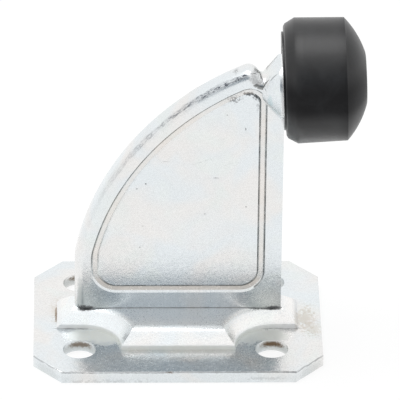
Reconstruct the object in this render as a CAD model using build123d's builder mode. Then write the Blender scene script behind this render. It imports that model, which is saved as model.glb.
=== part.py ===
"""Heavy-duty floor stop: a pressed steel fin on a bolted plate, with a rubber buffer at its top.

Millimetres. X runs from the heel of the fin to the buffer, Z is up, and the origin is the
middle of the plate's underside, which lies on the floor.
"""
from build123d import *

import os
from math import cos, hypot, radians, sin, sqrt

os.makedirs("parts", exist_ok=True)

# Base plate with its four bolt holes
plate_length = 100.0
plate_depth = 72.9
plate_thickness = 4.2
plate_corner_x = 9.8
plate_corner_y = 10.6
plate_edge_round = 0.5
hole_spacing_x = 66.4
hole_spacing_y = 43.4
hole_diameter = 11.4
hole_shift = -0.9

# Saddle, a pressed sheet with two lobes across and two tabs along
saddle_sheet = 2.0
saddle_rise = 6.3
saddle_bend = 4.4
saddle_lip = 1.6
tab_lip = 0.4
tab_reach = 42.0
tab_width = 16.6
lobe_reach = 22.0
scallop_radius = 13.6

# Fin, one sheet folded over its curved spine, open at the foot and towards the buffer
fin_sheet = 2.0
fin_thickness = 10.0
fin_length = 71.5
fin_bend = 3.5
heel_height = 19.0
heel_round = 20.0
spine_radius = 101.2
crest_setback = 3.95
crest_rise = 5.0
crest_round = 3.6
valley_depth = 6.6
valley_round = 2.0

# Bead pressed into both walls of the fin
bead_width = 2.8
bead_depth = 0.7
bead_slope = 46.0
bead_from_spine = 5.1
bead_from_edge = 5.7
bead_from_foot = 6.3
bead_foot_corner = 8.8
bead_crest_corner = 6.0
bead_heel_corner = 14.0

# Flared mouth of the fin, a cone with a short collar and a flat on top
flare_radius = 11.1
flare_collar = 1.1
flare_neck_radius = 3.9
flare_flat_width = 12.4
flare_drop = 2.2

# Rubber buffer and the steel insert moulded into it
seat_setback = 0.55
buffer_height = 87.9
buffer_tilt = 2.2
buffer_length = 28.45
buffer_radius = 21.45
pad_radius = 16.8
pad_thickness = 0.7
back_radius = 19.25
back_chamfer = 0.6
bevel_length = 3.8
crease_x = 21.4
crease_radius = 21.0
tip_radius = 8.4
tip_round = 6.0
insert_gap = 0.05
insert_neck_radius = 6.0
anchor_radius = 13.0
anchor_thickness = 3.0
anchor_depth = 4.0

# Levels, planes and axes that the sizes above fix
fin_foot = plate_thickness + saddle_rise
half_fin = fin_length / 2
buffer_x = half_fin - seat_setback
buffer_z = fin_foot + buffer_height
axis_x = cos(radians(buffer_tilt))
axis_z = sin(radians(buffer_tilt))
buffer_plane = Plane((buffer_x, 0, buffer_z), x_dir=(axis_x, 0, axis_z), z_dir=(0, -1, 0))
buffer_axis = Axis((buffer_x, 0, buffer_z), (axis_x, 0, axis_z))
seat_plane = Plane((buffer_x, 0, buffer_z), z_dir=(axis_x, 0, axis_z))
flare_origin = buffer_plane.from_local_coords((0, -flare_drop, 0))
flare_plane = Plane(flare_origin, x_dir=(axis_x, 0, axis_z), z_dir=(0, -1, 0))
flare_axis = Axis(flare_origin, (axis_x, 0, axis_z))
flare_flat = sqrt(flare_radius**2 - flare_flat_width**2 / 4)
ramp_rise = flare_flat + flare_collar
valley = flare_plane.from_local_coords((-valley_depth, ramp_rise - valley_depth, 0))
ramp_end = flare_plane.from_local_coords((flare_radius, ramp_rise + flare_radius, 0))
heel_point = (-half_fin, fin_foot + heel_height)
crest_point = (valley.X - crest_setback, valley.Z + crest_rise)
spine_centre = RadiusArc(heel_point, crest_point, spine_radius).arc_center
dome_depth = buffer_length - crease_x
dome_centre = (buffer_length + crease_x) / 2 - (crease_radius**2 - tip_radius**2) / (2 * dome_depth)
dome_radius = hypot(buffer_length - dome_centre, tip_radius)


def saddle_form(inset, lip, height):
    """Return the saddle's form: an upright lip, sides that slope in above it, and sloped tab ends."""
    scallop_x = hole_spacing_x / 2
    scallop_y = tab_width / 2 + scallop_radius
    end_x = tab_reach + tab_lip + height
    with BuildPart() as form:
        with BuildSketch(Plane.XY.offset(plate_thickness)):
            Rectangle(2 * end_x, 2 * (lobe_reach - inset))
            for side_x in (-1, 1):
                for side_y in (-1, 1):
                    with Locations((side_x * scallop_x, side_y * scallop_y)):
                        Circle(scallop_radius + inset, mode=Mode.SUBTRACT)
                    with Locations((side_x * (scallop_x + end_x), side_y * (tab_width / 2 - inset + end_x))):
                        Rectangle(2 * end_x, 2 * end_x, mode=Mode.SUBTRACT)
        extrude(amount=height)
        rim = form.faces().sort_by(Axis.Z)[-1].edges()
        chamfer(rim.filter_by(lambda edge: abs((edge @ 0.5).X) < end_x - 0.1), height - lip)
        for side_x in (-1, 1):
            slope = Plane((side_x * (tab_reach - inset), 0, plate_thickness + tab_lip), z_dir=(side_x, 0, 1))
            split(bisect_by=slope, keep=Keep.BOTTOM)
            end = Plane((side_x * (tab_reach - inset), 0, 0), z_dir=(side_x, 0, 0))
            split(bisect_by=end, keep=Keep.BOTTOM)
    return form.part


def fin_form(inset):
    """Return the folded fin's outer form, or the space inside it when inset is its sheet."""
    open_x = half_fin + 2 * inset
    open_z = fin_foot - 2 * inset
    with BuildPart() as form:
        with BuildSketch(Plane.XZ) as outline:
            with BuildLine():
                foot = Line((ramp_end.X, open_z), (-half_fin, open_z))
                heel = Line(foot @ 1, heel_point)
                spine = RadiusArc(heel_point, crest_point, spine_radius)
                crest = Line(crest_point, (valley.X, valley.Z))
                ramp = Line(crest @ 1, (ramp_end.X, ramp_end.Z))
                Line(ramp @ 1, foot @ 0)
            make_face()
            fillet(outline.vertices().sort_by_distance(heel @ 1)[0], heel_round)
            fillet(outline.vertices().sort_by_distance(crest @ 0)[0], crest_round)
            fillet(outline.vertices().sort_by_distance(crest @ 1)[0], valley_round)
            if inset > 0:
                offset(amount=-inset, mode=Mode.REPLACE)
        extrude(amount=fin_thickness / 2 - inset, both=True)
        if inset == 0:
            walls = form.faces().filter_by(Axis.Y).edges()
            folded = walls.filter_by(lambda edge: (edge @ 0.5).Z > fin_foot + 0.1)
            fillet(folded.filter_by(lambda edge: (edge @ 0.5).X < half_fin - 0.1), fin_bend)
        split(bisect_by=Plane((open_x, 0, 0), z_dir=(1, 0, 0)), keep=Keep.BOTTOM)
    return form.part


def flare_form(inset):
    """Return the flare's outer form, or the space inside it for an inset."""
    slant = inset * sqrt(2)
    rim = flare_radius - slant
    neck = flare_neck_radius - slant
    end = neck - rim - flare_collar
    top = ramp_rise - slant
    with BuildPart() as form:
        with BuildSketch(flare_plane):
            with BuildLine():
                Polyline((0, 0), (0, rim), (-flare_collar, rim), (end, neck), (end, 0), close=True)
            make_face()
        revolve(axis=flare_axis)
        with BuildSketch(flare_plane):
            with BuildLine():
                ramp = Line((rim, top + rim), (-2 * rim, top - 2 * rim))
                Polyline(ramp @ 1, (-2 * rim, top + rim), ramp @ 0)
            make_face()
        extrude(amount=flare_radius, both=True, mode=Mode.SUBTRACT)
    return form.part


def bead_form(level):
    """Return the bead's two rings, which narrow inwards from this distance off the middle."""
    edge = half_fin - bead_from_edge
    foot = fin_foot + bead_from_foot
    radius = spine_radius - bead_from_spine
    heel = spine_centre.Y + sqrt(radius**2 - (edge + spine_centre.X) ** 2)
    crest = spine_centre.Y + sqrt(radius**2 - (edge - spine_centre.X) ** 2)
    with BuildPart() as form:
        with BuildSketch(Plane.XZ.offset(level)) as ring:
            with BuildLine():
                spine = RadiusArc((-edge, heel), (edge, crest), radius)
                Polyline(spine @ 1, (edge, foot), (-edge, foot), spine @ 0)
            make_face()
            fillet(ring.vertices().group_by(Axis.Y)[0], bead_foot_corner)
            fillet(ring.vertices().sort_by_distance(spine @ 0)[0], bead_heel_corner)
            fillet(ring.vertices().sort_by_distance(spine @ 1)[0], bead_crest_corner)
            offset(amount=-bead_width, mode=Mode.SUBTRACT)
        extrude(amount=-bead_depth, taper=bead_slope)
        mirror(about=Plane.XZ)
    return form.part


with BuildPart() as base_plate:
    with BuildSketch():
        Rectangle(plate_length, plate_depth)
        for side_x in (-1, 1):
            for side_y in (-1, 1):
                with BuildLine():
                    Polyline(
                        (side_x * plate_length / 2, side_y * plate_depth / 2),
                        (side_x * (plate_length / 2 - plate_corner_x), side_y * plate_depth / 2),
                        (side_x * plate_length / 2, side_y * (plate_depth / 2 - plate_corner_y)),
                        close=True,
                    )
                make_face(mode=Mode.SUBTRACT)
    extrude(amount=plate_thickness)
    fillet(base_plate.faces().sort_by(Axis.Z)[-1].edges(), plate_edge_round)
    with BuildSketch():
        with Locations((hole_shift, 0)):
            with GridLocations(hole_spacing_x, hole_spacing_y, 2, 2):
                Circle(hole_diameter / 2)
    extrude(amount=plate_thickness, mode=Mode.SUBTRACT)

saddle_outer = saddle_form(0, saddle_lip, saddle_rise)
saddle_wall = saddle_sheet * sqrt(2) - saddle_lip + tab_lip
saddle_hollow = saddle_form(saddle_wall, tab_lip, saddle_rise - saddle_sheet)

with BuildPart() as saddle:
    add(saddle_outer)
    fillet(saddle.faces().sort_by(Axis.Z)[-1].edges(), saddle_bend)
    add(saddle_hollow, mode=Mode.SUBTRACT)

fin_outer = fin_form(0)
fin_space = fin_form(fin_sheet)
flare_outer = flare_form(0)
flare_space = flare_form(fin_sheet)
bead_groove = bead_form(fin_thickness / 2)
bead_ridge = bead_form(fin_thickness / 2 - fin_sheet)

with BuildPart() as fin:
    add(fin_outer)
    add(flare_outer)
    add(fin_space, mode=Mode.SUBTRACT)
    add(bead_ridge)
    add(bead_groove, mode=Mode.SUBTRACT)
    add(flare_space, mode=Mode.SUBTRACT)
    split(bisect_by=seat_plane, keep=Keep.BOTTOM)

insert_spigot = flare_form(fin_sheet + insert_gap)

with BuildPart() as buffer_insert:
    add(insert_spigot)
    with BuildSketch(flare_plane):
        with BuildLine():
            Polyline(
                (0, 0),
                (0, insert_neck_radius),
                (anchor_depth, insert_neck_radius),
                (anchor_depth, anchor_radius),
                (anchor_depth + anchor_thickness, anchor_radius),
                (anchor_depth + anchor_thickness, 0),
                close=True,
            )
        make_face()
    revolve(axis=flare_axis)

with BuildPart() as rubber_buffer:
    with BuildSketch(buffer_plane) as profile:
        with BuildLine():
            back = Polyline(
                (buffer_length, 0),
                (0, 0),
                (0, pad_radius),
                (pad_thickness, pad_radius),
                (pad_thickness, back_radius),
                (pad_thickness + bevel_length, buffer_radius),
                (crease_x, crease_radius),
            )
            tip = Line(back @ 0, (buffer_length, tip_radius))
            RadiusArc(back @ 1, tip @ 1, dome_radius)
        make_face()
        fillet(profile.vertices().sort_by_distance((buffer_length, tip_radius))[0], tip_round)
        chamfer(profile.vertices().sort_by_distance((pad_thickness, back_radius))[0], back_chamfer)
    revolve(axis=buffer_axis)
    add(buffer_insert.part, mode=Mode.SUBTRACT)

base_plate.part.label = "base_plate"
saddle.part.label = "saddle"
fin.part.label = "fin"
buffer_insert.part.label = "buffer_insert"
rubber_buffer.part.label = "rubber_buffer"

export_step(base_plate.part, "parts/base_plate.step")
export_step(saddle.part, "parts/saddle.step")
export_step(fin.part, "parts/fin.step")
export_step(buffer_insert.part, "parts/buffer_insert.step")
export_step(rubber_buffer.part, "parts/rubber_buffer.step")
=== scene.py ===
"""Looks of the heavy-duty floor stop: bright zinc on pressed steel, and a moulded rubber buffer.

Metres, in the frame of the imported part: X runs to the buffer, Z is up, and the floor is z = 0.
"""

import logging
import math
from dataclasses import dataclass, field
from enum import Enum

import bpy
from mathutils import Matrix, Vector


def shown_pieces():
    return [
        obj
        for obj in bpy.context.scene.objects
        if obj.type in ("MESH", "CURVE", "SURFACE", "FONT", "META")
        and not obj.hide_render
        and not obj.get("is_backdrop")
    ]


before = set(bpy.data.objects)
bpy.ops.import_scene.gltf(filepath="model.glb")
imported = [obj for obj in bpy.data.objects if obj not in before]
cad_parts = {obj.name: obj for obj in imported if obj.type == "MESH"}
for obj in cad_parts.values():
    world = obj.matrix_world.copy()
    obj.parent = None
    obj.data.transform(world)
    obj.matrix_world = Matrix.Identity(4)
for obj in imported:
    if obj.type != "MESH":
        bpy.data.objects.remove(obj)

log = logging.getLogger("floor_stop")

MM = 0.001
WELD_DISTANCE = 1e-6
CRISP_ANGLE = math.radians(32)
NOISE_MIDDLE = 0.5
WHITE = (1.0, 1.0, 1.0)

NUMBER = "NodeSocketFloat"
VECTOR = "NodeSocketVector"
COLOUR = "NodeSocketColor"

# Places of a Mix node's sockets, which share their names between its data types.
MIX_SHARE = 0
MIX_NUMBERS, MIX_NUMBER_OUT = (2, 3), 0
MIX_COLOURS, MIX_COLOUR_OUT = (6, 7), 2

Colour = tuple[float, float, float]
Place = tuple[float, float, float]
Span = tuple[float, float]
Socket = bpy.types.NodeSocket
Feed = Socket | float | tuple[float, ...]


class MarkKind(Enum):
    """What a mark on the zinc is made of, or the light or shade painted on it: colour, share of metal
    left, roughness.
    """

    RUST = ((0.25, 0.165, 0.095), 0.15, 0.75)
    # Dark grime; also painted shade along joints, under the fin's foot and in gaps.
    DIRT_AND_SHADE = ((0.10, 0.10, 0.105), 0.5, 0.55)
    HEAT = ((0.58, 0.52, 0.44), 0.9, 0.45)
    CUT = ((0.79, 0.81, 0.77), 0.35, 0.50)
    # Darker metal: painted shade in the holes, on the plate's front face and corners, and on the fin's
    # lower corners and heel bend.
    DARK_SHADE = ((0.50, 0.53, 0.525), 0.95, 0.32)
    # Pale matt zinc: a painted highlight on the crumpled crest, and a painted lighter tone on the
    # saddle's lip.
    PALE_GLARE = ((0.93, 0.94, 0.945), 0.3, 0.60)
    SHADE = ((0.60, 0.73, 0.76), 1.0, 0.30)
    # Brighter metal: a painted highlight on the flare's rim.
    RIM_GLINT = ((0.99, 0.99, 0.99), 1.0, 0.50)
    # Pale bluish half-matt zinc: a painted lighter sheen on the saddle's top.
    PALE_SHEEN = ((0.93, 0.955, 0.97), 0.70, 0.32)

    @property
    def colour(self) -> Colour:
        """The mark's own colour."""
        return self.value[0]

    @property
    def metal(self) -> float:
        """The share of bare metal that still shows."""
        return self.value[1]

    @property
    def roughness(self) -> float:
        """The mark's roughness."""
        return self.value[2]


@dataclass(frozen=True)
class Mark:
    """A blotch on a surface, in millimetres.

    Attributes:
        kind: What the blotch is made of, or the light or shade that it paints.
        centre: Its middle.
        reach: How far it goes along X, Y and Z.
        strength: How much of the zinc it covers, 0 to 1.
        ragged: How far noise eats into its edge.
        grain: Size of the noise.
    """

    kind: MarkKind
    centre: Place
    reach: Place
    strength: float
    ragged: float
    grain: float


@dataclass(frozen=True)
class ScratchOrCrease:
    """A thin scratched line, or a line of painted crease shade, between two points, in millimetres.

    Attributes:
        start: One end.
        end: The other end.
        width: Half its width.
        strength: How dark it is, 0 to 1.
        colour: Colour of the metal in the line, or of the painted shade.
    """

    start: Place
    end: Place
    width: float = 0.10
    strength: float = 0.35
    colour: Colour = (0.16, 0.165, 0.175)


@dataclass(frozen=True)
class ReflectionStreak:
    """A streaky band of painted dark reflection along a bend that follows an arc in the XZ plane, in
    millimetres.

    Attributes:
        centre: The arc's centre, X and Z.
        radius: The arc's radius in the middle of the band.
        width: Half the band's width.
        faded_x: Where along X the band has faded out.
        full_x: Where along X it is at its strongest.
        end_x: Where along X it stops.
        strength: How dark it is at its strongest, 0 to 1.
        colour: Colour of the painted dark reflection.
    """

    centre: Span
    radius: float
    width: float
    faded_x: float
    full_x: float
    end_x: float
    strength: float
    colour: Colour = (0.05, 0.06, 0.085)


@dataclass(frozen=True)
class BeadShading:
    """The painted shade lines at the edges of the pressed bead, and its pale floor, in millimetres.

    Attributes:
        centre: Centre of the spine's arc, X and Z.
        radius: Radius of the bead's outer edge along the spine.
        side_x: Where the bead's run by the open edge starts.
        corner: Centre of the bead's bend at each foot corner, X and Z.
        corner_radius: Radius of the bead's inner edge there.
        wall: Half the fin's thickness.
        strength: How dark the painted shade lines are, 0 to 1.
        colour: Colour of the painted shade lines.
        floor_strength: How much of the bead's floor is pale, 0 to 1.
        floor_colour: Colour of the floor.
        floor_metal: Share of bare metal on the floor.
    """

    centre: Span
    radius: float
    side_x: float
    corner: Span
    corner_radius: float
    wall: float
    strength: float = 0.85
    colour: Colour = (0.14, 0.145, 0.14)
    floor_strength: float = 0.85
    floor_colour: Colour = (0.97, 0.89, 0.81)
    floor_metal: float = 0.25


def in_metres(place: Place) -> Place:
    """Turn a place from millimetres to metres."""
    return tuple(v * MM for v in place)


class NodeSketch:
    """Adds nodes to one node tree and joins them."""

    def __init__(self, tree: bpy.types.NodeTree) -> None:
        """Start on a tree.

        Args:
            tree: The material's or the group's node tree.
        """
        self.tree = tree

    def feed(self, socket: Socket, value: Feed) -> None:
        """Link a socket, or set its number or colour.

        Args:
            socket: The input.
            value: A socket to link, or the value to set.
        """
        if isinstance(value, Socket):
            self.tree.links.new(value, socket)
        elif socket.type == "RGBA" and len(value) == 3:
            socket.default_value = (*value, 1.0)
        else:
            socket.default_value = value

    def feed_named(self, node: bpy.types.Node, inputs: dict[str, Feed]) -> None:
        """Feed a node's inputs by name, with _ for a space.

        Args:
            node: The node.
            inputs: Values or sockets by the input's name.
        """
        for name, value in inputs.items():
            self.feed(node.inputs[name.replace("_", " ")], value)

    def add(self, kind: str, **inputs: Feed) -> bpy.types.Node:
        """Add a node and feed its inputs by name, with _ for a space.

        Args:
            kind: The node's type name.
            **inputs: Values or sockets for the node's inputs.

        Returns:
            The node.
        """
        node = self.tree.nodes.new(kind)
        self.feed_named(node, inputs)
        return node

    def group(self, tree: bpy.types.NodeTree, **inputs: Feed) -> dict[str, Socket]:
        """Place a node group and feed its inputs by name, with _ for a space.

        Args:
            tree: The group.
            **inputs: Values or sockets for its inputs.

        Returns:
            The group's outputs by name.
        """
        node = self.tree.nodes.new("ShaderNodeGroup")
        node.node_tree = tree
        self.feed_named(node, inputs)
        return {socket.name: socket for socket in node.outputs}

    def maths(self, operation: str, *values: Feed, clamp: bool = False) -> Socket:
        """Add a Math node.

        Args:
            operation: The Math operation.
            *values: Its inputs in order.
            clamp: Whether the result is kept from 0 to 1.

        Returns:
            The result.
        """
        node = self.tree.nodes.new("ShaderNodeMath")
        node.operation = operation
        node.use_clamp = clamp
        for socket, value in zip(node.inputs, values):
            self.feed(socket, value)
        return node.outputs[0]

    def product(self, first: Feed, *others: Feed) -> Feed:
        """Multiply numbers.

        Args:
            first: The first number.
            *others: The numbers that it is multiplied by, in order.

        Returns:
            The product.
        """
        for other in others:
            first = self.maths("MULTIPLY", first, other)
        return first

    def vector(self, operation: str, *values: Feed, out: str = "Vector") -> Socket:
        """Add a Vector Math node.

        Args:
            operation: The Vector Math operation.
            *values: Its vector inputs in order.
            out: The output to return.

        Returns:
            The result.
        """
        node = self.tree.nodes.new("ShaderNodeVectorMath")
        node.operation = operation
        for socket, value in zip(node.inputs, values):
            self.feed(socket, value)
        return node.outputs[out]

    def noise(
        self, place: Feed, size: float, detail: float = 3.0, rough: float = 0.55, twist: float = 0.0
    ) -> Socket:
        """Add a noise of a given grain.

        Args:
            place: Coordinates in metres.
            size: The grain in millimetres.
            detail: Number of finer layers.
            rough: Strength of the finer layers.
            twist: Distortion.

        Returns:
            The noise, about 0.5 on average.
        """
        node = self.add(
            "ShaderNodeTexNoise",
            Vector=place, Scale=1 / (size * MM), Detail=detail, Roughness=rough, Distortion=twist,
        )
        return node.outputs["Fac"]

    def ease(
        self, value: Feed, low: float, high: float, to_low: float = 0.0, to_high: float = 1.0
    ) -> Socket:
        """Add a smooth step from one range to another.

        Args:
            value: What is mapped.
            low: Where the step starts.
            high: Where it ends.
            to_low: Result at low.
            to_high: Result at high.

        Returns:
            The mapped value.
        """
        node = self.tree.nodes.new("ShaderNodeMapRange")
        node.interpolation_type = "SMOOTHSTEP"
        for name, number in (
            ("From Min", low), ("From Max", high), ("To Min", to_low), ("To Max", to_high)
        ):
            node.inputs[name].default_value = number
        self.feed(node.inputs["Value"], value)
        return node.outputs["Result"]

    def step(self, value: Feed, span: Span, to_low: float = 0.0, to_high: float = 1.0) -> Socket:
        """Add a smooth step along a length.

        Args:
            value: A length in metres.
            span: Where the step starts and ends, in millimetres.
            to_low: Result before it.
            to_high: Result after it.

        Returns:
            The mapped value.
        """
        return self.ease(value, span[0] * MM, span[1] * MM, to_low, to_high)

    def band(self, value: Feed, rise: Span, fall: Span, top: float = 1.0) -> Socket:
        """Add a band that comes in and goes out smoothly along a length.

        Args:
            value: A length in metres.
            rise: Where it starts and where it is full, in millimetres.
            fall: Where it starts to fade and where it has gone, in millimetres.
            top: The result in its middle.

        Returns:
            The band's mask.
        """
        return self.product(self.step(value, rise, 0.0, top), self.step(value, fall, 1.0, 0.0))

    def mix(self, share: Feed, first: Feed, second: Feed, blend: str = "MIX") -> Socket:
        """Mix two colours.

        Args:
            share: How much of the second shows.
            first: Colour under.
            second: Colour over.
            blend: The blend mode.

        Returns:
            The mixed colour.
        """
        node = self.tree.nodes.new("ShaderNodeMix")
        node.data_type = "RGBA"
        node.blend_type = blend
        for socket, value in zip((MIX_SHARE, *MIX_COLOURS), (share, first, second)):
            self.feed(node.inputs[socket], value)
        return node.outputs[MIX_COLOUR_OUT]

    def blend(self, share: Feed, first: Feed, second: Feed) -> Socket:
        """Mix two numbers.

        Args:
            share: How much of the second shows.
            first: Number under.
            second: Number over.

        Returns:
            The mixed number.
        """
        node = self.tree.nodes.new("ShaderNodeMix")
        node.data_type = "FLOAT"
        for socket, value in zip((MIX_SHARE, *MIX_NUMBERS), (share, first, second)):
            self.feed(node.inputs[socket], value)
        return node.outputs[MIX_NUMBER_OUT]

    def split(self, place: Feed) -> tuple[Socket, ...]:
        """Return X, Y and Z of a vector."""
        return tuple(self.add("ShaderNodeSeparateXYZ", Vector=place).outputs)

    def object_place(self) -> Socket:
        """Return the Object coordinates."""
        return self.add("ShaderNodeTexCoord").outputs["Object"]

    def from_axis(self, place: Feed, centre: Feed) -> Socket:
        """Measure the distance from an axis along Y.

        Args:
            place: Coordinates in metres.
            centre: A point of the axis, in metres.

        Returns:
            The distance in metres.
        """
        flat = self.vector("MULTIPLY", self.vector("SUBTRACT", place, centre), (1, 0, 1))
        return self.vector("LENGTH", flat, out="Value")

    def relief(self, shader: bpy.types.Node, height: Feed, depth: float, share: float = 1.0) -> None:
        """Give a shader a fine relief.

        Args:
            shader: The shader.
            height: The relief, 0 to about 1.
            depth: How high 1 is, in millimetres.
            share: How much of it shows, 0 to 1.
        """
        bump = self.add("ShaderNodeBump", Height=height, Strength=share, Distance=depth * MM)
        self.feed(shader.inputs["Normal"], bump.outputs["Normal"])


def new_group(
    name: str, inputs: dict[str, str], outputs: dict[str, str]
) -> tuple[NodeSketch, dict[str, Socket], bpy.types.Node]:
    """Start a shader node group.

    Args:
        name: The group's name.
        inputs: Socket type by input name.
        outputs: Socket type by output name.

    Returns:
        The sketch of its tree, its input sockets by name and its output node.
    """
    tree = bpy.data.node_groups.new(name, "ShaderNodeTree")
    for label, kind in inputs.items():
        tree.interface.new_socket(label, in_out="INPUT", socket_type=kind)
    for label, kind in outputs.items():
        tree.interface.new_socket(label, in_out="OUTPUT", socket_type=kind)
    entry = tree.nodes.new("NodeGroupInput")
    leave = tree.nodes.new("NodeGroupOutput")
    return NodeSketch(tree), {label: entry.outputs[label] for label in inputs}, leave


def new_material(name: str) -> tuple[bpy.types.Material, NodeSketch, bpy.types.Node]:
    """Start a material.

    Args:
        name: The material's name.

    Returns:
        The material, the sketch of its tree and its shader.
    """
    made = bpy.data.materials.new(name)
    made.use_nodes = True
    return made, NodeSketch(made.node_tree), made.node_tree.nodes["Principled BSDF"]


class SharedEffects:
    """The node groups that the finishes use, each built once."""

    def __init__(self) -> None:
        """Build the groups."""
        self.zinc_skin = self._zinc_skin()
        self.blotch = self._blotch()
        self.scratch_or_crease = self._scratch_or_crease()
        self.reflection_streak = self._reflection_streak()
        self.bead_shading = self._bead_shading()

    @staticmethod
    def _zinc_skin() -> bpy.types.NodeTree:
        """Build the plated skin: cloudy tints, fine spangle and pitting.

        Returns:
            The group, with a tint colour, a shade, a roughness shift and a height.
        """
        pale_blue, straw, pale_green = (0.93, 0.98, 1.0), (1.0, 0.975, 0.945), (0.95, 1.0, 0.965)
        apart = (0.31, 0.17, 0.05)
        fine_height, pit_height = 0.5, 0.8
        sketch, given, leave = new_group(
            "zinc skin",
            {"Vector": VECTOR, "Tint": NUMBER},
            {"Tint Colour": COLOUR, "Shade": NUMBER, "Roughness Shift": NUMBER, "Height": NUMBER},
        )
        place = given["Vector"]
        cloud = sketch.noise(place, size=22.0, detail=2.0, rough=0.5, twist=0.6)
        elsewhere = sketch.vector("ADD", place, apart)
        drift = sketch.noise(elsewhere, size=15.0, detail=2.0, rough=0.5, twist=0.8)
        warm = sketch.mix(sketch.ease(cloud, 0.42, 0.62), pale_blue, straw)
        tinted = sketch.mix(sketch.ease(drift, 0.50, 0.68, to_high=0.6), warm, pale_green)
        fine = sketch.noise(place, size=0.55, detail=2.0, rough=0.6)
        pits = sketch.noise(place, size=1.3, detail=4.0, rough=0.7)
        broad = sketch.noise(place, size=7.0, detail=2.0)
        speckle = sketch.ease(fine, 0.34, 0.66, to_low=0.95, to_high=1.02)
        patches = sketch.ease(broad, 0.3, 0.7, to_low=0.98, to_high=1.0)
        height = sketch.maths(
            "ADD", sketch.product(fine, fine_height), sketch.product(pits, pit_height)
        )
        sketch.feed(leave.inputs["Tint Colour"], sketch.mix(given["Tint"], WHITE, tinted))
        sketch.feed(leave.inputs["Shade"], sketch.product(speckle, patches))
        sketch.feed(
            leave.inputs["Roughness Shift"], sketch.ease(pits, 0.3, 0.7, to_low=-0.04, to_high=0.07)
        )
        sketch.feed(leave.inputs["Height"], height)
        return sketch.tree

    @staticmethod
    def _blotch() -> bpy.types.NodeTree:
        """Build a ragged blotch round a point.

        Returns:
            The group, with a mask from 0 to 1.
        """
        solid_share, noise_swing = 0.35, 4.0
        sketch, given, leave = new_group(
            "blotch",
            {"Vector": VECTOR, "Centre": VECTOR, "Reach": VECTOR, "Ragged": NUMBER, "Grain": NUMBER},
            {"Mask": NUMBER},
        )
        from_centre = sketch.vector("SUBTRACT", given["Vector"], given["Centre"])
        scaled = sketch.vector("DIVIDE", from_centre, given["Reach"])
        share = sketch.vector("LENGTH", scaled, out="Value")
        noise = sketch.add(
            "ShaderNodeTexNoise",
            Vector=given["Vector"], Scale=given["Grain"], Detail=4.0, Roughness=0.65,
        ).outputs["Fac"]
        eaten = sketch.product(sketch.maths("SUBTRACT", noise, NOISE_MIDDLE), given["Ragged"])
        ragged = sketch.maths("MULTIPLY_ADD", eaten, noise_swing, share)
        sketch.feed(leave.inputs["Mask"], sketch.ease(ragged, solid_share, 1.0, 1.0, 0.0))
        return sketch.tree

    @staticmethod
    def _scratch_or_crease() -> bpy.types.NodeTree:
        """Build a thin wavering line between two points.

        Returns:
            The group, with a mask from 0 to 1.
        """
        waver_size, waver_reach = 4.0 * MM, 1.2 * MM
        sketch, given, leave = new_group(
            "scratch_or_crease",
            {"Vector": VECTOR, "Start": VECTOR, "Along": VECTOR, "Length": NUMBER, "Width": NUMBER},
            {"Mask": NUMBER},
        )
        waver = sketch.add(
            "ShaderNodeTexNoise", Vector=given["Vector"], Scale=1 / waver_size, Detail=1.0
        ).outputs["Color"]
        shift = sketch.vector("SCALE", sketch.vector("SUBTRACT", waver, (NOISE_MIDDLE,) * 3))
        shift.node.inputs["Scale"].default_value = waver_reach
        local = sketch.vector("SUBTRACT", sketch.vector("ADD", given["Vector"], shift), given["Start"])
        along = sketch.vector("DOT_PRODUCT", local, given["Along"], out="Value")
        aside = sketch.vector("CROSS_PRODUCT", local, given["Along"])
        across = sketch.vector("LENGTH", aside, out="Value")
        line = sketch.ease(sketch.maths("DIVIDE", across, given["Width"]), 0.5, 1.6, 1.0, 0.0)
        share = sketch.maths("DIVIDE", along, given["Length"])
        ends = sketch.product(sketch.ease(share, 0.0, 0.15), sketch.ease(share, 0.7, 1.0, 1.0, 0.0))
        sketch.feed(leave.inputs["Mask"], sketch.product(line, ends))
        return sketch.tree

    @staticmethod
    def _reflection_streak() -> bpy.types.NodeTree:
        """Build a streaky band round an axis along Y.

        Returns:
            The group, with a mask from 0 to 1.
        """
        stretch, drift_reach, end_fade = 0.22, 0.9 * MM, (0.0, 1.5)
        sketch, given, leave = new_group(
            "reflection_streak",
            {
                "Vector": VECTOR, "Centre": VECTOR, "Radius": NUMBER, "Width": NUMBER,
                "Faded X": NUMBER, "Full X": NUMBER, "End X": NUMBER,
            },
            {"Mask": NUMBER},
        )
        reach = sketch.from_axis(given["Vector"], given["Centre"])
        away = sketch.maths("SUBTRACT", reach, given["Radius"])
        x, y, z = sketch.split(given["Vector"])
        along = sketch.product(sketch.maths("ADD", x, z), stretch)
        grain = sketch.add("ShaderNodeCombineXYZ", X=along, Y=away, Z=y).outputs[0]
        drift = sketch.maths("SUBTRACT", sketch.noise(grain, size=1.6, detail=2.0), NOISE_MIDDLE)
        shifted = sketch.maths("MULTIPLY_ADD", drift, drift_reach, away)
        share = sketch.maths("ABSOLUTE", sketch.maths("DIVIDE", shifted, given["Width"]))
        fine = sketch.noise(grain, size=0.35, rough=0.65)
        broad = sketch.noise(given["Vector"], size=4.0, rough=0.6)
        span = sketch.maths("SUBTRACT", given["Full X"], given["Faded X"])
        before = sketch.maths("SUBTRACT", given["End X"], x)
        mask = sketch.product(
            sketch.ease(share, 0.4, 1.15, 1.0, 0.0),
            sketch.ease(fine, 0.40, 0.60, to_low=0.25),
            sketch.ease(broad, 0.36, 0.56, to_low=0.35),
            sketch.maths("DIVIDE", sketch.maths("SUBTRACT", x, given["Faded X"]), span, clamp=True),
            sketch.step(before, end_fade),
        )
        sketch.feed(leave.inputs["Mask"], mask)
        return sketch.tree

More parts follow.
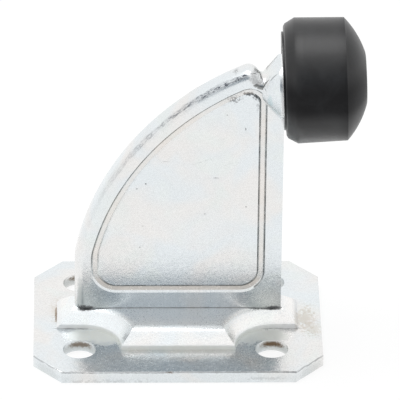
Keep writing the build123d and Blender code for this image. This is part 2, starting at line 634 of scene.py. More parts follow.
    @staticmethod
    def _bead_shading() -> bpy.types.NodeTree:
        """Build the painted shade lines on the bead's slopes and the tone of its floor.

        The lines run outside along the spine, on both slopes by the open edge and inside at the foot.

        Returns:
            The group, with masks from 0 to 1 for the lines and for the bead's floor.
        """
        outline_in, spine_out, side_in = (-0.25, -0.05), (0.7, 1.4), (-0.3, 0.3)
        slope_in, slope_out = (0.01, 0.06), (0.35, 0.60)
        floor_in, floor_out, floor_share = (0.55, 0.68), (0.75, 0.85), 0.45
        line_in, line_out, bare_out = (-0.50, -0.20), (0.45, 0.75), (1.9, 2.3)
        foot_in, wall_in = (1.0, 4.5), (3.5, 4.0)
        sketch, given, leave = new_group(
            "bead shading",
            {
                "Vector": VECTOR, "Centre": VECTOR, "Radius": NUMBER, "Side X": NUMBER,
                "Corner X": NUMBER, "Corner Z": NUMBER, "Corner Radius": NUMBER, "Wall": NUMBER,
            },
            {"Mask": NUMBER, "Floor": NUMBER},
        )
        x, y, z = sketch.split(given["Vector"])
        out_y = sketch.maths("ABSOLUTE", y)
        sunk = sketch.maths("SUBTRACT", given["Wall"], out_y)
        reach = sketch.from_axis(given["Vector"], given["Centre"])
        inside = sketch.maths("SUBTRACT", given["Radius"], reach)
        within = sketch.step(inside, outline_in)
        spine = sketch.step(inside, spine_out, 1.0, 0.0)
        side = sketch.step(sketch.maths("SUBTRACT", x, given["Side X"]), side_in)
        runs = sketch.maths("MAXIMUM", spine, side)
        upper_line = sketch.product(sketch.band(sunk, slope_in, slope_out), runs, within)
        past_x = sketch.maths("SUBTRACT", sketch.maths("ABSOLUTE", x), given["Corner X"])
        beyond = sketch.maths("MAXIMUM", past_x, 0.0)
        under = sketch.maths("SUBTRACT", given["Corner Z"], z)
        corner_reach = sketch.maths(
            "SQRT", sketch.maths("MULTIPLY_ADD", beyond, beyond, sketch.product(under, under))
        )
        past = sketch.maths("SUBTRACT", corner_reach, given["Corner Radius"])
        low = sketch.product(sketch.step(under, foot_in), sketch.step(out_y, wall_in))
        foot_line = sketch.product(sketch.band(past, line_in, line_out), low)
        foot_floor = sketch.product(sketch.band(past, line_out, bare_out), low)
        uneven = sketch.ease(sketch.noise(given["Vector"], size=3.0), 0.3, 0.6, to_low=0.6)
        lines = sketch.maths("MAXIMUM", upper_line, foot_line)
        pale = sketch.product(sketch.band(sunk, floor_in, floor_out, floor_share), within, uneven)
        sketch.feed(leave.inputs["Mask"], sketch.product(lines, uneven))
        sketch.feed(leave.inputs["Floor"], sketch.maths("MAXIMUM", pale, foot_floor))
        return sketch.tree


@dataclass
class Layers:
    """The colour, roughness and metal that a finish builds up layer by layer.

    Attributes:
        sketch: The material's node tree.
        colour: Colour so far.
        rough: Roughness so far.
        metal: Share of bare metal so far.
    """

    sketch: NodeSketch
    colour: Feed
    rough: Feed
    metal: Feed = 1.0

    def cover(
        self,
        mask: Socket,
        strength: float,
        colour: Colour,
        rough: float | None = None,
        metal: float | None = None,
    ) -> None:
        """Lay one layer over what is there.

        Args:
            mask: Where it lies.
            strength: How much it covers, 0 to 1.
            colour: Its colour.
            rough: Its roughness, or None to keep what is there.
            metal: Its share of bare metal, or None to keep what is there.
        """
        share = self.sketch.product(mask, strength)
        self.colour = self.sketch.mix(share, self.colour, colour)
        if rough is not None:
            self.rough = self.sketch.blend(share, self.rough, rough)
        if metal is not None:
            self.metal = self.sketch.blend(share, self.metal, metal)


@dataclass(frozen=True)
class ZincFinish:
    """Bright zinc plate with its marks.

    Attributes:
        name: The material's name.
        colour: Colour of the clean plate.
        roughness: Roughness of the clean plate.
        tint: Strength of the pale blue and straw clouds.
        relief: Height of the spangle and pits, in millimetres.
        marks: Blotches of rust, dirt, heat and worn zinc, and of painted shade and highlights.
        scratches_and_creases: Thin scratched lines, and lines of painted crease shade.
        reflection_streaks: Painted dark reflections along bends.
        bead_shadings: Painted shade lines at the edges of the bead, and its pale floor.
    """

    name: str
    colour: Colour = (0.865, 0.872, 0.88)
    roughness: float = 0.22
    tint: float = 0.8
    relief: float = 0.05
    marks: tuple[Mark, ...] = ()
    scratches_and_creases: tuple[ScratchOrCrease, ...] = ()
    reflection_streaks: tuple[ReflectionStreak, ...] = ()
    bead_shadings: tuple[BeadShading, ...] = ()

    def material(self, effects: SharedEffects) -> bpy.types.Material:
        """Build the material.

        Args:
            effects: The shared node groups.

        Returns:
            The material.
        """
        made, sketch, shader = new_material(self.name)
        place = sketch.object_place()
        skin = sketch.group(effects.zinc_skin, Vector=place, Tint=self.tint)
        tinted = sketch.mix(1.0, self.colour, skin["Tint Colour"], "MULTIPLY")
        layers = Layers(
            sketch,
            sketch.mix(1.0, tinted, skin["Shade"], "MULTIPLY"),
            sketch.maths("ADD", self.roughness, skin["Roughness Shift"]),
        )
        self._lay_marks(layers, effects, place)
        self._lay_scratches_and_creases(layers, effects, place)
        self._lay_reflection_streaks(layers, effects, place)
        self._lay_bead_shadings(layers, effects, place)
        sketch.feed(shader.inputs["Base Color"], layers.colour)
        sketch.feed(shader.inputs["Roughness"], layers.rough)
        sketch.feed(shader.inputs["Metallic"], layers.metal)
        sketch.relief(shader, skin["Height"], self.relief)
        return made

    def _lay_marks(self, layers: Layers, effects: SharedEffects, place: Socket) -> None:
        """Lay the blotches in order.

        Args:
            layers: What is there so far.
            effects: The shared node groups.
            place: Object coordinates.
        """
        for mark in self.marks:
            masks = layers.sketch.group(
                effects.blotch,
                Vector=place,
                Centre=in_metres(mark.centre),
                Reach=in_metres(mark.reach),
                Ragged=mark.ragged,
                Grain=1 / (mark.grain * MM),
            )
            kind = mark.kind
            layers.cover(masks["Mask"], mark.strength, kind.colour, kind.roughness, kind.metal)

    def _lay_scratches_and_creases(self, layers: Layers, effects: SharedEffects, place: Socket) -> None:
        """Draw the scratched lines and the lines of painted crease shade.

        Args:
            layers: What is there so far.
            effects: The shared node groups.
            place: Object coordinates.
        """
        for scratch_or_crease in self.scratches_and_creases:
            line = Vector(scratch_or_crease.end) - Vector(scratch_or_crease.start)
            masks = layers.sketch.group(
                effects.scratch_or_crease,
                Vector=place,
                Start=in_metres(scratch_or_crease.start),
                Along=tuple(line.normalized()),
                Length=line.length * MM,
                Width=scratch_or_crease.width * MM,
            )
            layers.cover(masks["Mask"], scratch_or_crease.strength, scratch_or_crease.colour)

    def _lay_reflection_streaks(self, layers: Layers, effects: SharedEffects, place: Socket) -> None:
        """Draw the painted dark reflections along the bends.

        Args:
            layers: What is there so far.
            effects: The shared node groups.
            place: Object coordinates.
        """
        for reflection_streak in self.reflection_streaks:
            masks = layers.sketch.group(
                effects.reflection_streak,
                Vector=place,
                Centre=in_metres((reflection_streak.centre[0], 0.0, reflection_streak.centre[1])),
                Radius=reflection_streak.radius * MM,
                Width=reflection_streak.width * MM,
                Faded_X=reflection_streak.faded_x * MM,
                Full_X=reflection_streak.full_x * MM,
                End_X=reflection_streak.end_x * MM,
            )
            layers.cover(masks["Mask"], reflection_streak.strength, reflection_streak.colour)

    def _lay_bead_shadings(self, layers: Layers, effects: SharedEffects, place: Socket) -> None:
        """Draw the bead's painted shade lines and tone its floor.

        Args:
            layers: What is there so far.
            effects: The shared node groups.
            place: Object coordinates.
        """
        for bead in self.bead_shadings:
            masks = layers.sketch.group(
                effects.bead_shading,
                Vector=place,
                Centre=in_metres((bead.centre[0], 0.0, bead.centre[1])),
                Radius=bead.radius * MM,
                Side_X=bead.side_x * MM,
                Corner_X=bead.corner[0] * MM,
                Corner_Z=bead.corner[1] * MM,
                Corner_Radius=bead.corner_radius * MM,
                Wall=bead.wall * MM,
            )
            layers.cover(masks["Mask"], bead.strength, bead.colour)
            layers.cover(
                masks["Floor"], bead.floor_strength, bead.floor_colour, metal=bead.floor_metal
            )


@dataclass(frozen=True)
class RubberFinish:
    """Moulded black rubber with a satin skin.

    Attributes:
        name: The material's name.
        colour: Colour of the rubber.
        bloom: Colour of its greyer bloom.
        bloom_size: Size of the bloom's clouds, in millimetres.
        roughness: Roughness of the rubber and its skin.
        gloss: Sheen of the rubber under its skin.
        skin: How much of the moulded skin shows, 0 to 1.
        belt_skin: How much of it shows on the belt round the middle; more skin over and under it paints
            a sheen on the top and the foot.
        belt_foot: Heights between which the belt comes in, in millimetres.
        belt_top: Heights between which it goes out, in millimetres.
        nose: Where along X the skin wears down towards the nose, in millimetres.
        nose_share: Share of the skin that is left there.
        grain: Size of the moulded grain, in millimetres.
        relief: Height of the grain, in millimetres.
        relief_share: How much of the grain shows, 0 to 1.
    """

    name: str
    colour: Colour = (0.008, 0.008, 0.009)
    bloom: Colour = (0.016, 0.0165, 0.018)
    bloom_size: float = 9.0
    roughness: float = 0.40
    gloss: float = 0.11
    skin: float = 0.78
    belt_skin: float = 0.10
    belt_foot: Span = (93.0, 99.0)
    belt_top: Span = (104.0, 111.0)
    nose: Span = (52.0, 58.0)
    nose_share: float = 0.59
    grain: float = 0.6
    relief: float = 0.02
    relief_share: float = 0.6

    def material(self) -> bpy.types.Material:
        """Build the material.

        Returns:
            The material.
        """
        made, sketch, shader = new_material(self.name)
        place = sketch.object_place()
        cloud = sketch.noise(place, self.bloom_size, detail=3.0, rough=0.6, twist=0.4)
        colour = sketch.mix(sketch.ease(cloud, 0.4, 0.7), self.colour, self.bloom)
        shift = sketch.ease(cloud, 0.3, 0.7, to_low=-0.05, to_high=0.06)
        along, _, height = sketch.split(place)
        # More skin over and under the belt: a painted sheen on the rubber's top and foot.
        over_belt = sketch.step(height, self.belt_top, self.belt_skin, self.skin)
        under_belt = sketch.step(height, self.belt_foot, self.skin, self.belt_skin)
        nose = sketch.step(along, self.nose, 1.0, self.nose_share)
        skin = sketch.product(sketch.maths("MAXIMUM", over_belt, under_belt), nose)
        sketch.feed(shader.inputs["Base Color"], colour)
        sketch.feed(shader.inputs["Roughness"], sketch.maths("ADD", self.roughness, shift))
        sketch.feed(shader.inputs["Coat Weight"], skin)
        shader.inputs["Coat Roughness"].default_value = self.roughness
        shader.inputs["Specular IOR Level"].default_value = self.gloss
        grain = sketch.noise(place, self.grain, detail=2.0)
        sketch.relief(shader, grain, self.relief, self.relief_share)
        return made


@dataclass(frozen=True)
class TurnedSteel:
    """Bare turned steel with tool rings round an axis.

    Attributes:
        name: The material's name.
        colour: Colour of the steel.
        stain: Colour of its stains.
        stain_size: Size of the stains, in millimetres.
        pitch: Distance between rings, in millimetres.
        roughness: Roughness in the valley and on the crest of a ring.
    """

    name: str
    colour: Colour = (0.52, 0.52, 0.53)
    stain: Colour = (0.416, 0.416, 0.424)
    stain_size: float = 2.0
    pitch: float = 0.5
    roughness: Span = (0.30, 0.45)

    def material(self) -> bpy.types.Material:
        """Build the material.

        Returns:
            The material.
        """
        made, sketch, shader = new_material(self.name)
        place = sketch.object_place()
        along = sketch.split(place)[0]
        ring = sketch.maths("SINE", sketch.product(along, math.tau / (self.pitch * MM)))
        spots = sketch.ease(sketch.noise(place, self.stain_size), 0.35, 0.7)
        sketch.feed(shader.inputs["Base Color"], sketch.mix(spots, self.colour, self.stain))
        sketch.feed(shader.inputs["Roughness"], sketch.ease(ring, -1.0, 1.0, *self.roughness))
        shader.inputs["Metallic"].default_value = 1.0
        return made


def smooth_node(name: str) -> bpy.types.Object:
    """Close the seams between a CAD node's faces and shade them smooth.

    Args:
        name: The CAD node.

    Returns:
        The node's object.
    """
    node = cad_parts[name]
    node.data.shade_smooth()
    weld = node.modifiers.new("close seams", "WELD")
    weld.merge_threshold = WELD_DISTANCE
    split = node.modifiers.new("crisp edges", "EDGE_SPLIT")
    split.split_angle = CRISP_ANGLE
    return node


def dress(node: bpy.types.Object, material: bpy.types.Material) -> None:
    """Give an object one material.

    Args:
        node: The object.
        material: The material.
    """
    node.data.materials.clear()
    node.data.materials.append(material)
    log.info("dressed %s with %s", node.name, material.name)


@dataclass
class BoltedBase:
    """The plate with its four holes, and the saddle welded on it, in millimetres.

    Attributes:
        hole_x: Hole centres along X.
        hole_y: Hole centres along Y.
        hole_radius: Radius of the holes.
        rust_share: How rusty the holes at each end are, 0 to 1.
        plate_top: Height of the plate's top.
        saddle_top: Height of the saddle's top.
        saddle_lighter_colour: Colour of the saddle's clean zinc, painted lighter than that of the plate
            and the fin.
    """

    hole_x: Span = (-34.1, 32.3)
    hole_y: Span = (-21.7, 21.7)
    hole_radius: float = 5.7
    rust_share: Span = (0.75, 1.0)
    plate_top: float = 4.2
    saddle_top: float = 10.5
    saddle_lighter_colour: Colour = (0.965, 0.97, 0.975)

    def hole_marks(self) -> tuple[Mark, ...]:
        """Paint shade on the wall of each hole, and mark the rust on its far side.

        Returns:
            The marks.
        """
        marks = []
        for x, share in zip(self.hole_x, self.rust_share):
            for y in self.hole_y:
                # Painted shade on the hole's wall.
                marks.append(Mark(MarkKind.DARK_SHADE, (x, y, 1.8), (16.0, 16.0, 2.4), 0.75, 0.1, 2.0))
                centre = (x + 0.4, y + self.hole_radius - 0.3, 2.7)
                marks.append(Mark(MarkKind.RUST, centre, (6.0, 2.8, 1.5), share, 0.5, 0.5))
        return tuple(marks)

    def plate_marks(self) -> tuple[Mark, ...]:
        """Mark the plate by the saddle and along its front edge, with painted shade on its front face
        and front corners.

        Returns:
            The marks.
        """
        top = self.plate_top
        return (
            # Pale greenish matt patches on the plate in front of the tabs.
            Mark(MarkKind.CUT, (-25.5, -13.0, top), (10.0, 8.0, 1.5), 0.8, 0.3, 2.0),
            Mark(MarkKind.CUT, (25.0, -13.0, top), (9.0, 8.0, 1.5), 0.5, 0.3, 2.0),
            Mark(MarkKind.CUT, (33.0, -13.0, top), (7.0, 5.5, 1.5), 0.8, 0.3, 2.0),
            Mark(MarkKind.CUT, (-33.5, -13.0, top), (7.0, 5.5, 1.5), 0.6, 0.3, 2.0),
            Mark(MarkKind.HEAT, (44.5, -2.0, top), (4.0, 9.0, 1.5), 0.55, 0.9, 1.2),
            Mark(MarkKind.HEAT, (47.0, -9.0, top), (3.5, 6.0, 1.5), 0.40, 1.0, 0.8),
            Mark(MarkKind.HEAT, (-41.5, 4.0, top), (3.0, 9.0, 1.5), 0.35, 1.0, 1.0),
            # Rust along the left tab's end, with painted shade in the gap where the tab meets the plate.
            Mark(MarkKind.RUST, (-42.25, 0.5, top), (0.55, 7.0, 0.6), 0.8, 0.5, 0.8),
            # A dark line where the left tab's front corner meets the plate.
            Mark(MarkKind.DIRT_AND_SHADE, (-38.2, -8.5, top), (2.4, 0.4, 0.5), 0.85, 0.4, 0.8),
            Mark(MarkKind.RUST, (-3.0, -36.3, 4.1), (1.6, 0.5, 0.6), 0.8, 0.8, 0.6),
            # A dark line along the plate's front top edge.
            Mark(MarkKind.DIRT_AND_SHADE, (0.0, -36.25, 4.15), (110.0, 0.5, 0.45), 0.6, 0.45, 1.6),
            # Painted shade on the front face and on the cut front corners.
            Mark(MarkKind.DARK_SHADE, (0.0, -36.5, 1.8), (90.0, 0.6, 3.4), 0.18, 0.4, 3.0),
            Mark(MarkKind.DARK_SHADE, (45.2, -31.2, 1.6), (8.0, 8.0, 2.6), 0.35, 0.2, 3.0),
            Mark(MarkKind.DARK_SHADE, (-45.2, -31.2, 1.6), (8.0, 8.0, 2.6), 0.30, 0.2, 3.0),
            # Faint dirt on the front face.
            Mark(MarkKind.DIRT_AND_SHADE, (-24.0, -36.5, 0.6), (14.0, 0.4, 0.9), 0.15, 1.2, 1.2),
            Mark(MarkKind.DIRT_AND_SHADE, (30.0, -36.5, 1.6), (8.0, 0.4, 0.6), 0.15, 1.2, 1.0),
        )

    def plate_scratches(self) -> tuple[ScratchOrCrease, ...]:
        """Mark the cut corners and the top with scratched lines, and the plate along the tabs' front
        edges with dark lines.

        Returns:
            The lines.
        """
        top = self.plate_top
        return (
            ScratchOrCrease((39.5, -36.9, 4.0), (51.5, -24.0, 4.0), 0.28, 0.55),
            ScratchOrCrease((-51.5, -24.0, 4.0), (-39.5, -36.9, 4.0), 0.28, 0.40),
            # Dark lines on the plate along the tabs' front edges.
            ScratchOrCrease((28.0, -8.5, top), (44.5, -8.5, top), 0.25, 0.50),
            ScratchOrCrease((-30.0, -8.5, top), (-44.5, -8.5, top), 0.25, 0.60),
            ScratchOrCrease((44.0, -31.0, top), (48.5, -28.5, top)),
            ScratchOrCrease((45.5, -32.5, top), (49.0, -31.0, top), 0.08),
            ScratchOrCrease((-46.0, -12.0, top), (-39.0, -14.0, top), 0.08, 0.25),
        )

    def saddle_marks(self) -> tuple[Mark, ...]:
        """Mark the saddle's lip, its tab ends and its top, with painted light on the lip and top, and
        paint the shade along the fin's foot.

        Returns:
            The marks.
        """
        lip, top = self.plate_top, self.saddle_top
        return (
            # A painted lighter tone on the lip all round, with the greenish cut edge over it fading
            # towards the tab ends.
            Mark(MarkKind.PALE_GLARE, (0.0, 0.0, lip), (300.0, 300.0, 2.4), 0.95, 0.10, 2.0),
            Mark(MarkKind.CUT, (0.0, 0.0, lip), (44.0, 300.0, 2.2), 0.85, 0.10, 2.0),
            Mark(MarkKind.HEAT, (42.0, -4.0, 5.5), (2.2, 7.0, 3.5), 0.5, 0.9, 0.9),
            # Rust along the left tab's end, with painted shade in the gap at the plate.
            Mark(MarkKind.RUST, (-42.1, 0.5, 4.3), (0.4, 7.0, 0.6), 0.8, 0.5, 0.8),
            # A painted lighter, bluish sheen on the saddle's top.
            Mark(MarkKind.PALE_SHEEN, (0.0, 0.0, top), (70.0, 70.0, 2.4), 0.85, 1.2, 0.5),
            # Painted shade under the fin's foot corners and along the foot.
            Mark(MarkKind.DIRT_AND_SHADE, (-32.4, -4.6, 9.9), (3.8, 1.1, 0.8), 0.9, 0.4, 0.8),
            Mark(MarkKind.DIRT_AND_SHADE, (32.8, -4.6, 9.9), (3.4, 1.1, 0.7), 0.8, 0.4, 0.8),
            Mark(MarkKind.DIRT_AND_SHADE, (0.0, -5.0, top), (60.0, 0.45, 0.6), 0.45, 0.25, 2.0),
        )

    def build(self, effects: SharedEffects) -> None:
        """Dress the plate and the saddle.

        Args:
            effects: The shared node groups.
        """
        plate = ZincFinish(
            "plate zinc",
            marks=self.hole_marks() + self.plate_marks(),
            scratches_and_creases=self.plate_scratches(),
        )
        dress(smooth_node("base_plate"), plate.material(effects))
        saddle = ZincFinish("saddle zinc", colour=self.saddle_lighter_colour, marks=self.saddle_marks())
        dress(smooth_node("saddle"), saddle.material(effects))


@dataclass
class FoldedFin:
    """The folded and beaded fin with its flared mouth, in millimetres.

    Attributes:
        wall_y: The front wall's face.
        groove_y: The bead's floor.
        foot_z: Height of the fin's foot.
        spine_centre: Centre of the spine's arc, X and Z.
        spine_radius: Radius of the spine's arc.
        bend_depth: How far under the spine the middle of its bend lies.
        bead_depth: How far under the spine the bead starts.
        specks: Dark specks on the wall: X, Z, reach along X, reach along Z and strength.
    """

    wall_y: float = -5.0
    groove_y: float = -4.3
    foot_z: float = 10.5
    spine_centre: Span = (63.811, 11.359)
    spine_radius: float = 101.2
    bend_depth: float = 1.05
    bead_depth: float = 5.1
    specks: tuple[tuple[float, float, float, float, float], ...] = (
        (-11.2, 60.7, 0.5, 0.3, 0.8),
        (-14.3, 58.7, 0.4, 0.3, 0.6),
        (22.7, 82.4, 0.3, 0.8, 0.6),
        (23.2, 51.4, 0.4, 0.3, 0.7),
        (9.1, 48.6, 0.5, 0.2, 0.6),
        (-13.2, 35.3, 0.3, 0.3, 0.6),
        (12.8, 63.0, 1.2, 0.2, 0.6),
        (16.3, 87.9, 0.3, 0.3, 0.5),
        (-12.2, 43.8, 0.5, 0.2, 0.4),
    )

    def painted_mouth_light(self) -> tuple[Mark, ...]:
        """Paint highlights on the crumpled crest and flare and on the flare's rim, and shade on the
        flare's bulge.

        Returns:
            The marks.
        """
        wall = self.wall_y
        return (
            # Painted highlights on the crumpled crest and flare and the flare's rim, and painted shade
            # on its bulge.
            Mark(MarkKind.PALE_GLARE, (26.3, wall + 1.2, 102.2), (3.4, 4.0, 3.6), 0.9, 0.4, 2.0),
            Mark(MarkKind.PALE_GLARE, (29.6, wall, 101.0), (1.6, 2.5, 2.2), 0.8, 0.4, 1.0),
            Mark(MarkKind.RIM_GLINT, (35.2, 0.0, 98.4), (1.1, 30.0, 22.0), 0.95, 0.1, 2.0),
            Mark(MarkKind.SHADE, (30.8, -7.4, 94.3), (1.3, 2.5, 3.4), 0.6, 0.3, 2.0),
            Mark(MarkKind.SHADE, (32.6, -7.9, 90.9), (2.3, 2.5, 1.5), 0.6, 0.3, 2.0),
        )

    def groove_marks(self) -> tuple[Mark, ...]:
        """Mark the dirt in the bead's upper corner and on the crest.

        Returns:
            The marks.
        """
        groove = self.groove_y
        return (
            Mark(MarkKind.DIRT_AND_SHADE, (23.4, groove, 95.9), (2.4, 1.2, 0.8), 0.85, 0.9, 0.7),
            Mark(MarkKind.DIRT_AND_SHADE, (25.7, groove, 94.5), (1.2, 1.2, 1.0), 0.85, 0.7, 0.7),
            Mark(MarkKind.DIRT_AND_SHADE, (18.7, groove, 94.0), (2.4, 1.2, 1.2), 0.55, 1.6, 0.6),
            Mark(MarkKind.DIRT_AND_SHADE, (26.8, groove, 91.5), (0.9, 1.2, 3.0), 0.35, 0.6, 1.0),
            Mark(MarkKind.DIRT_AND_SHADE, (19.2, 0.0, 102.4), (0.8, 1.4, 1.2), 0.5, 1.6, 0.5),
        )

    def painted_foot_shade(self) -> tuple[Mark, ...]:
        """Paint shade on the lower corners and the heel bend, along the foot and in the gaps under its
        ends.

        Returns:
            The marks.
        """
        wall, foot = self.wall_y, self.foot_z
        return (
            # Painted shade: the lower corners, the heel bend, the line along the foot and the gaps under
            # its ends.
            Mark(MarkKind.DARK_SHADE, (-32.0, wall, 13.0), (9.0, 2.0, 8.0), 0.55, 0.3, 4.0),
            Mark(MarkKind.DARK_SHADE, (32.0, wall, 13.0), (8.0, 2.0, 8.0), 0.45, 0.3, 4.0),
            Mark(MarkKind.DARK_SHADE, (-33.9, -4.6, 13.0), (1.9, 1.6, 13.0), 0.85, 0.2, 3.0),
            Mark(MarkKind.DIRT_AND_SHADE, (0.0, wall, foot), (60.0, 0.6, 0.42), 0.6, 0.25, 2.0),
            Mark(MarkKind.DIRT_AND_SHADE, (-33.0, wall, foot + 0.1), (5.0, 1.6, 1.3), 0.95, 0.45, 0.8),
            Mark(MarkKind.DIRT_AND_SHADE, (33.4, wall, foot + 0.1), (4.6, 1.6, 0.9), 0.9, 0.45, 0.8),
        )

    def wall_marks(self) -> tuple[Mark, ...]:
        """Mark the dark specks on the wall.

        Returns:
            The marks.
        """
        return tuple(
            Mark(MarkKind.DIRT_AND_SHADE, (x, self.wall_y, z), (reach_x, 0.5, reach_z), strength, 0.5, 0.5)
            for x, z, reach_x, reach_z, strength in self.specks
        )

    def scratches_and_creases(self) -> tuple[ScratchOrCrease, ...]:
        """Paint dark lines along the end of the bend and the creases of the crest and flare, and draw
        scratched lines on the wall.

        Returns:
            The lines.
        """
        wall = self.wall_y
        return (
            # Painted shade: the end of the bend's dark reflection, and the creases of the crumpled crest
            # and flare.
            ScratchOrCrease((21.0, -3.9, 102.1), (25.2, -3.1, 103.3), 0.30, 0.75),
            ScratchOrCrease((23.6, -3.5, 103.2), (27.4, -1.9, 102.2), 0.25, 0.60),
            ScratchOrCrease((27.6, -0.8, 101.3), (28.8, -4.4, 99.6), 0.25, 0.75),
            ScratchOrCrease((28.3, -3.0, 100.3), (29.6, -6.4, 97.6), 0.22, 0.60),
            ScratchOrCrease((30.1, -5.4, 100.8), (34.4, -6.4, 105.8), 0.22, 0.60),
            ScratchOrCrease((31.6, -7.2, 98.8), (33.2, -8.6, 100.9), 0.14, 0.35),
            ScratchOrCrease((33.4, -9.2, 96.2), (34.4, -9.9, 92.6), 0.14, 0.30),
            # Scratched lines on the wall.
            ScratchOrCrease((-7.6, wall, 69.8), (-2.4, wall, 69.2), 0.09, 0.40),
            ScratchOrCrease((3.8, wall, 67.8), (10.6, wall, 70.6), 0.10, 0.28),
            ScratchOrCrease((10.0, wall, 72.0), (12.5, wall, 68.0), 0.08, 0.22),
            ScratchOrCrease((-5.0, wall, 54.5), (2.0, wall, 54.0), 0.08, 0.22),
            ScratchOrCrease((14.0, wall, 67.5), (19.0, wall, 69.0), 0.08, 0.20),
        )

    def build(self, effects: SharedEffects) -> None:
        """Dress the fin.

        Args:
            effects: The shared node groups.
        """
        # A painted dark reflection along the spine's bend.
        reflection_streak = ReflectionStreak(
            self.spine_centre, self.spine_radius - self.bend_depth,
            width=0.70, faded_x=-34.0, full_x=14.0, end_x=24.0, strength=1.0,
        )
        # Painted shade lines at the bead's edges, and its pale beige floor.
        bead = BeadShading(
            self.spine_centre, self.spine_radius - self.bead_depth,
            side_x=26.3, corner=(21.25, 25.6), corner_radius=6.0, wall=-self.wall_y,
        )
        finish = ZincFinish(
            "fin zinc",
            marks=self.painted_foot_shade() + self.painted_mouth_light() + self.groove_marks() + self.wall_marks(),
            scratches_and_creases=self.scratches_and_creases(),
            reflection_streaks=(reflection_streak,),
            bead_shadings=(bead,),
        )
        dress(smooth_node("fin"), finish.material(effects))


@dataclass
class RubberHead:
    """The moulded buffer and the steel insert in it.

    Attributes:
        rubber: Finish of the buffer.
        steel: Finish of the insert.
    """

    rubber: RubberFinish = field(default_factory=lambda: RubberFinish("buffer rubber"))
    steel: TurnedSteel = field(default_factory=lambda: TurnedSteel("insert steel"))

    def build(self) -> None:
        """Dress the buffer and its insert."""
        dress(smooth_node("rubber_buffer"), self.rubber.material())
        dress(smooth_node("buffer_insert"), self.steel.material())


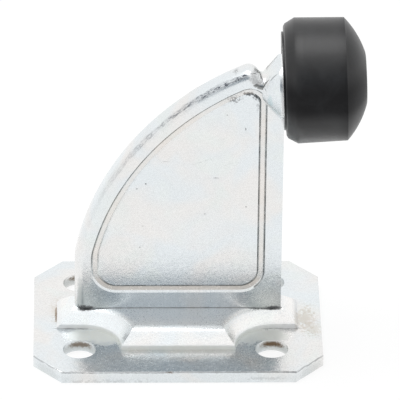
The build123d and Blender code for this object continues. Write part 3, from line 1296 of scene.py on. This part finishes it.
@dataclass
class Studio:
    """Camera, floor, light and the dark side of the room behind the camera.

    Attributes:
        eye: The camera's place, in millimetres.
        elevation: Its downward tilt, in degrees.
        yaw: Its turn to the right, in degrees.
        roll: Its roll, in degrees.
        focal_px: Its focal length in pixels of the picture.
        picture_px: Width of the picture in pixels.
        sensor: Width of the camera's sensor, in millimetres.
        clip: The nearest and farthest that the camera sees, in metres.
        floor_glow: How much of the floor's white is its own.
        floor_white: Reflectance of the floor that shows the shadow.
        floor_grey: Reflectance of the floor as the part is lit by it.
        floor_size: Width of the floor, in metres.
        floor_drop: How far the floor lies under the part, in millimetres.
        sky: Level of the soft light from all round.
        key_power: Power of the softbox overhead, in watts.
        key_size: Width of the softbox, in metres.
        key_place: Its place, in millimetres.
        key_aim: What it points at, in millimetres.
        room_shade: Colour of the dark side of the room.
        room_size: Its width and height, in metres.
        room_distance: How far it stands from the part, in metres.
    """

    eye: Place = (-31.118, -1602.741, 1017.174)
    elevation: float = 31.07
    yaw: float = 1.38
    roll: float = -0.60
    focal_px: float = 5438.4
    picture_px: float = 400.0
    sensor: float = 36.0
    clip: Span = (0.05, 100.0)
    floor_glow: float = 0.80
    floor_white: float = 0.24
    floor_grey: float = 0.75
    floor_size: float = 30.0
    floor_drop: float = 0.05
    sky: float = 0.62
    key_power: float = 9.0
    key_size: float = 1.1
    key_place: Place = (-150.0, 150.0, 1500.0)
    key_aim: Place = (0.0, 0.0, 50.0)
    room_shade: Colour = (0.30, 0.335, 0.37)
    room_size: Span = (2.6, 1.5)
    room_distance: float = 2.5

    def axes(self) -> tuple[Vector, Vector, Vector]:
        """Work out how the camera is turned.

        Returns:
            Its right, down and forward directions.
        """
        tilt, turn, roll = (math.radians(v) for v in (self.elevation, self.yaw, self.roll))
        ahead = Vector(
            (math.sin(turn) * math.cos(tilt), math.cos(turn) * math.cos(tilt), -math.sin(tilt))
        )
        level = Vector((math.cos(turn), -math.sin(turn), 0.0))
        down = ahead.cross(level)
        right = level * math.cos(roll) + down * math.sin(roll)
        return right, down * math.cos(roll) - level * math.sin(roll), ahead

    def turn(self) -> Matrix:
        """Return the turn of the camera, and of a card that faces the part from its side."""
        right, down, ahead = self.axes()
        return Matrix((right, -down, -ahead)).transposed().to_4x4()

    def camera(self) -> None:
        """Place the camera as the photograph was taken."""
        data = bpy.data.cameras.new("camera")
        data.sensor_width = self.sensor
        data.lens = self.focal_px * self.sensor / self.picture_px
        data.clip_start, data.clip_end = self.clip
        camera = bpy.data.objects.new("camera", data)
        camera.matrix_world = Matrix.Translation(Vector(self.eye) * MM) @ self.turn()
        bpy.context.scene.collection.objects.link(camera)
        bpy.context.scene.camera = camera

    @staticmethod
    def seen(sketch: NodeSketch) -> Socket:
        """Tell rays from the camera, reflections and glass from the rest.

        Args:
            sketch: The tree that the nodes go in.

        Returns:
            1 for those rays, and 0 for the rest.
        """
        path = sketch.add("ShaderNodeLightPath").outputs
        mirrored = sketch.maths("MAXIMUM", path["Is Glossy Ray"], path["Is Transmission Ray"])
        return sketch.maths("MAXIMUM", path["Is Camera Ray"], mirrored)

    def world(self) -> None:
        """Make a white surround that lights the part softly."""
        world = bpy.data.worlds.new("white surround")
        world.use_nodes = True
        sketch = NodeSketch(world.node_tree)
        ground = world.node_tree.nodes["Background"]
        sketch.feed(ground.inputs["Color"], WHITE)
        sketch.feed(ground.inputs["Strength"], sketch.blend(self.seen(sketch), self.sky, 1.0))
        bpy.context.scene.world = world

    def floor(self) -> None:
        """Lay a plain pale floor that keeps the part's shadow."""
        bpy.ops.mesh.primitive_plane_add(
            size=self.floor_size, location=(0.0, 0.0, -self.floor_drop * MM)
        )
        floor = bpy.context.object
        floor.name = "floor"
        made, sketch, shader = new_material("pale floor")
        nodes = made.node_tree.nodes
        nodes.remove(shader)
        plain = sketch.add("ShaderNodeBsdfDiffuse", Color=(self.floor_grey,) * 3)
        matt = sketch.add("ShaderNodeBsdfDiffuse", Color=(self.floor_white,) * 3)
        glow = sketch.add("ShaderNodeEmission", Color=WHITE, Strength=self.floor_glow)
        both = nodes.new("ShaderNodeAddShader")
        sketch.feed(both.inputs[0], matt.outputs[0])
        sketch.feed(both.inputs[1], glow.outputs[0])
        chosen = nodes.new("ShaderNodeMixShader")
        sketch.feed(chosen.inputs[0], self.seen(sketch))
        sketch.feed(chosen.inputs[1], plain.outputs[0])
        sketch.feed(chosen.inputs[2], both.outputs[0])
        sketch.feed(nodes["Material Output"].inputs["Surface"], chosen.outputs[0])
        floor.data.materials.append(made)
        floor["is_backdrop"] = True

    def softbox(self) -> None:
        """Hang one softbox over the part."""
        data = bpy.data.lights.new("softbox", "AREA")
        data.shape = "DISK"
        data.size = self.key_size
        data.energy = self.key_power
        lamp = bpy.data.objects.new("softbox", data)
        lamp.location = Vector(self.key_place) * MM
        lamp.rotation_mode = "QUATERNION"
        aim = Vector(self.key_aim) * MM - lamp.location
        lamp.rotation_quaternion = aim.to_track_quat("-Z", "Y")
        bpy.context.scene.collection.objects.link(lamp)

    def dark_room(self) -> None:
        """Stand a dark card behind the camera, as the unlit side of the studio, for reflections only."""
        bpy.ops.mesh.primitive_plane_add(size=1.0)
        card = bpy.context.object
        card.name = "dark_room"
        ahead = self.axes()[2]
        place = Matrix.Translation(-ahead * self.room_distance)
        card.matrix_world = place @ self.turn() @ Matrix.Diagonal((*self.room_size, 1.0, 1.0))
        made, sketch, shader = new_material("dark card")
        nodes = made.node_tree.nodes
        nodes.remove(shader)
        glow = sketch.add("ShaderNodeEmission", Color=self.room_shade)
        sketch.feed(nodes["Material Output"].inputs["Surface"], glow.outputs[0])
        card.data.materials.append(made)
        card.visible_camera = False
        card.visible_diffuse = False
        card.visible_shadow = False
        card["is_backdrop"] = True

    def build(self) -> None:
        """Set up the camera, the light and the floor."""
        self.camera()
        self.world()
        self.floor()
        self.softbox()
        self.dark_room()
        bpy.context.scene.view_settings.view_transform = "Standard"


def main() -> None:
    """Build the studio and dress the part."""
    logging.basicConfig(level=logging.INFO)
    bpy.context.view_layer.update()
    Studio().build()
    effects = SharedEffects()
    BoltedBase().build(effects)
    FoldedFin().build(effects)
    RubberHead().build()
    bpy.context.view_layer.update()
    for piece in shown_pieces():
        log.info("piece %s", piece.name)


if __name__ == "__main__":
    main()
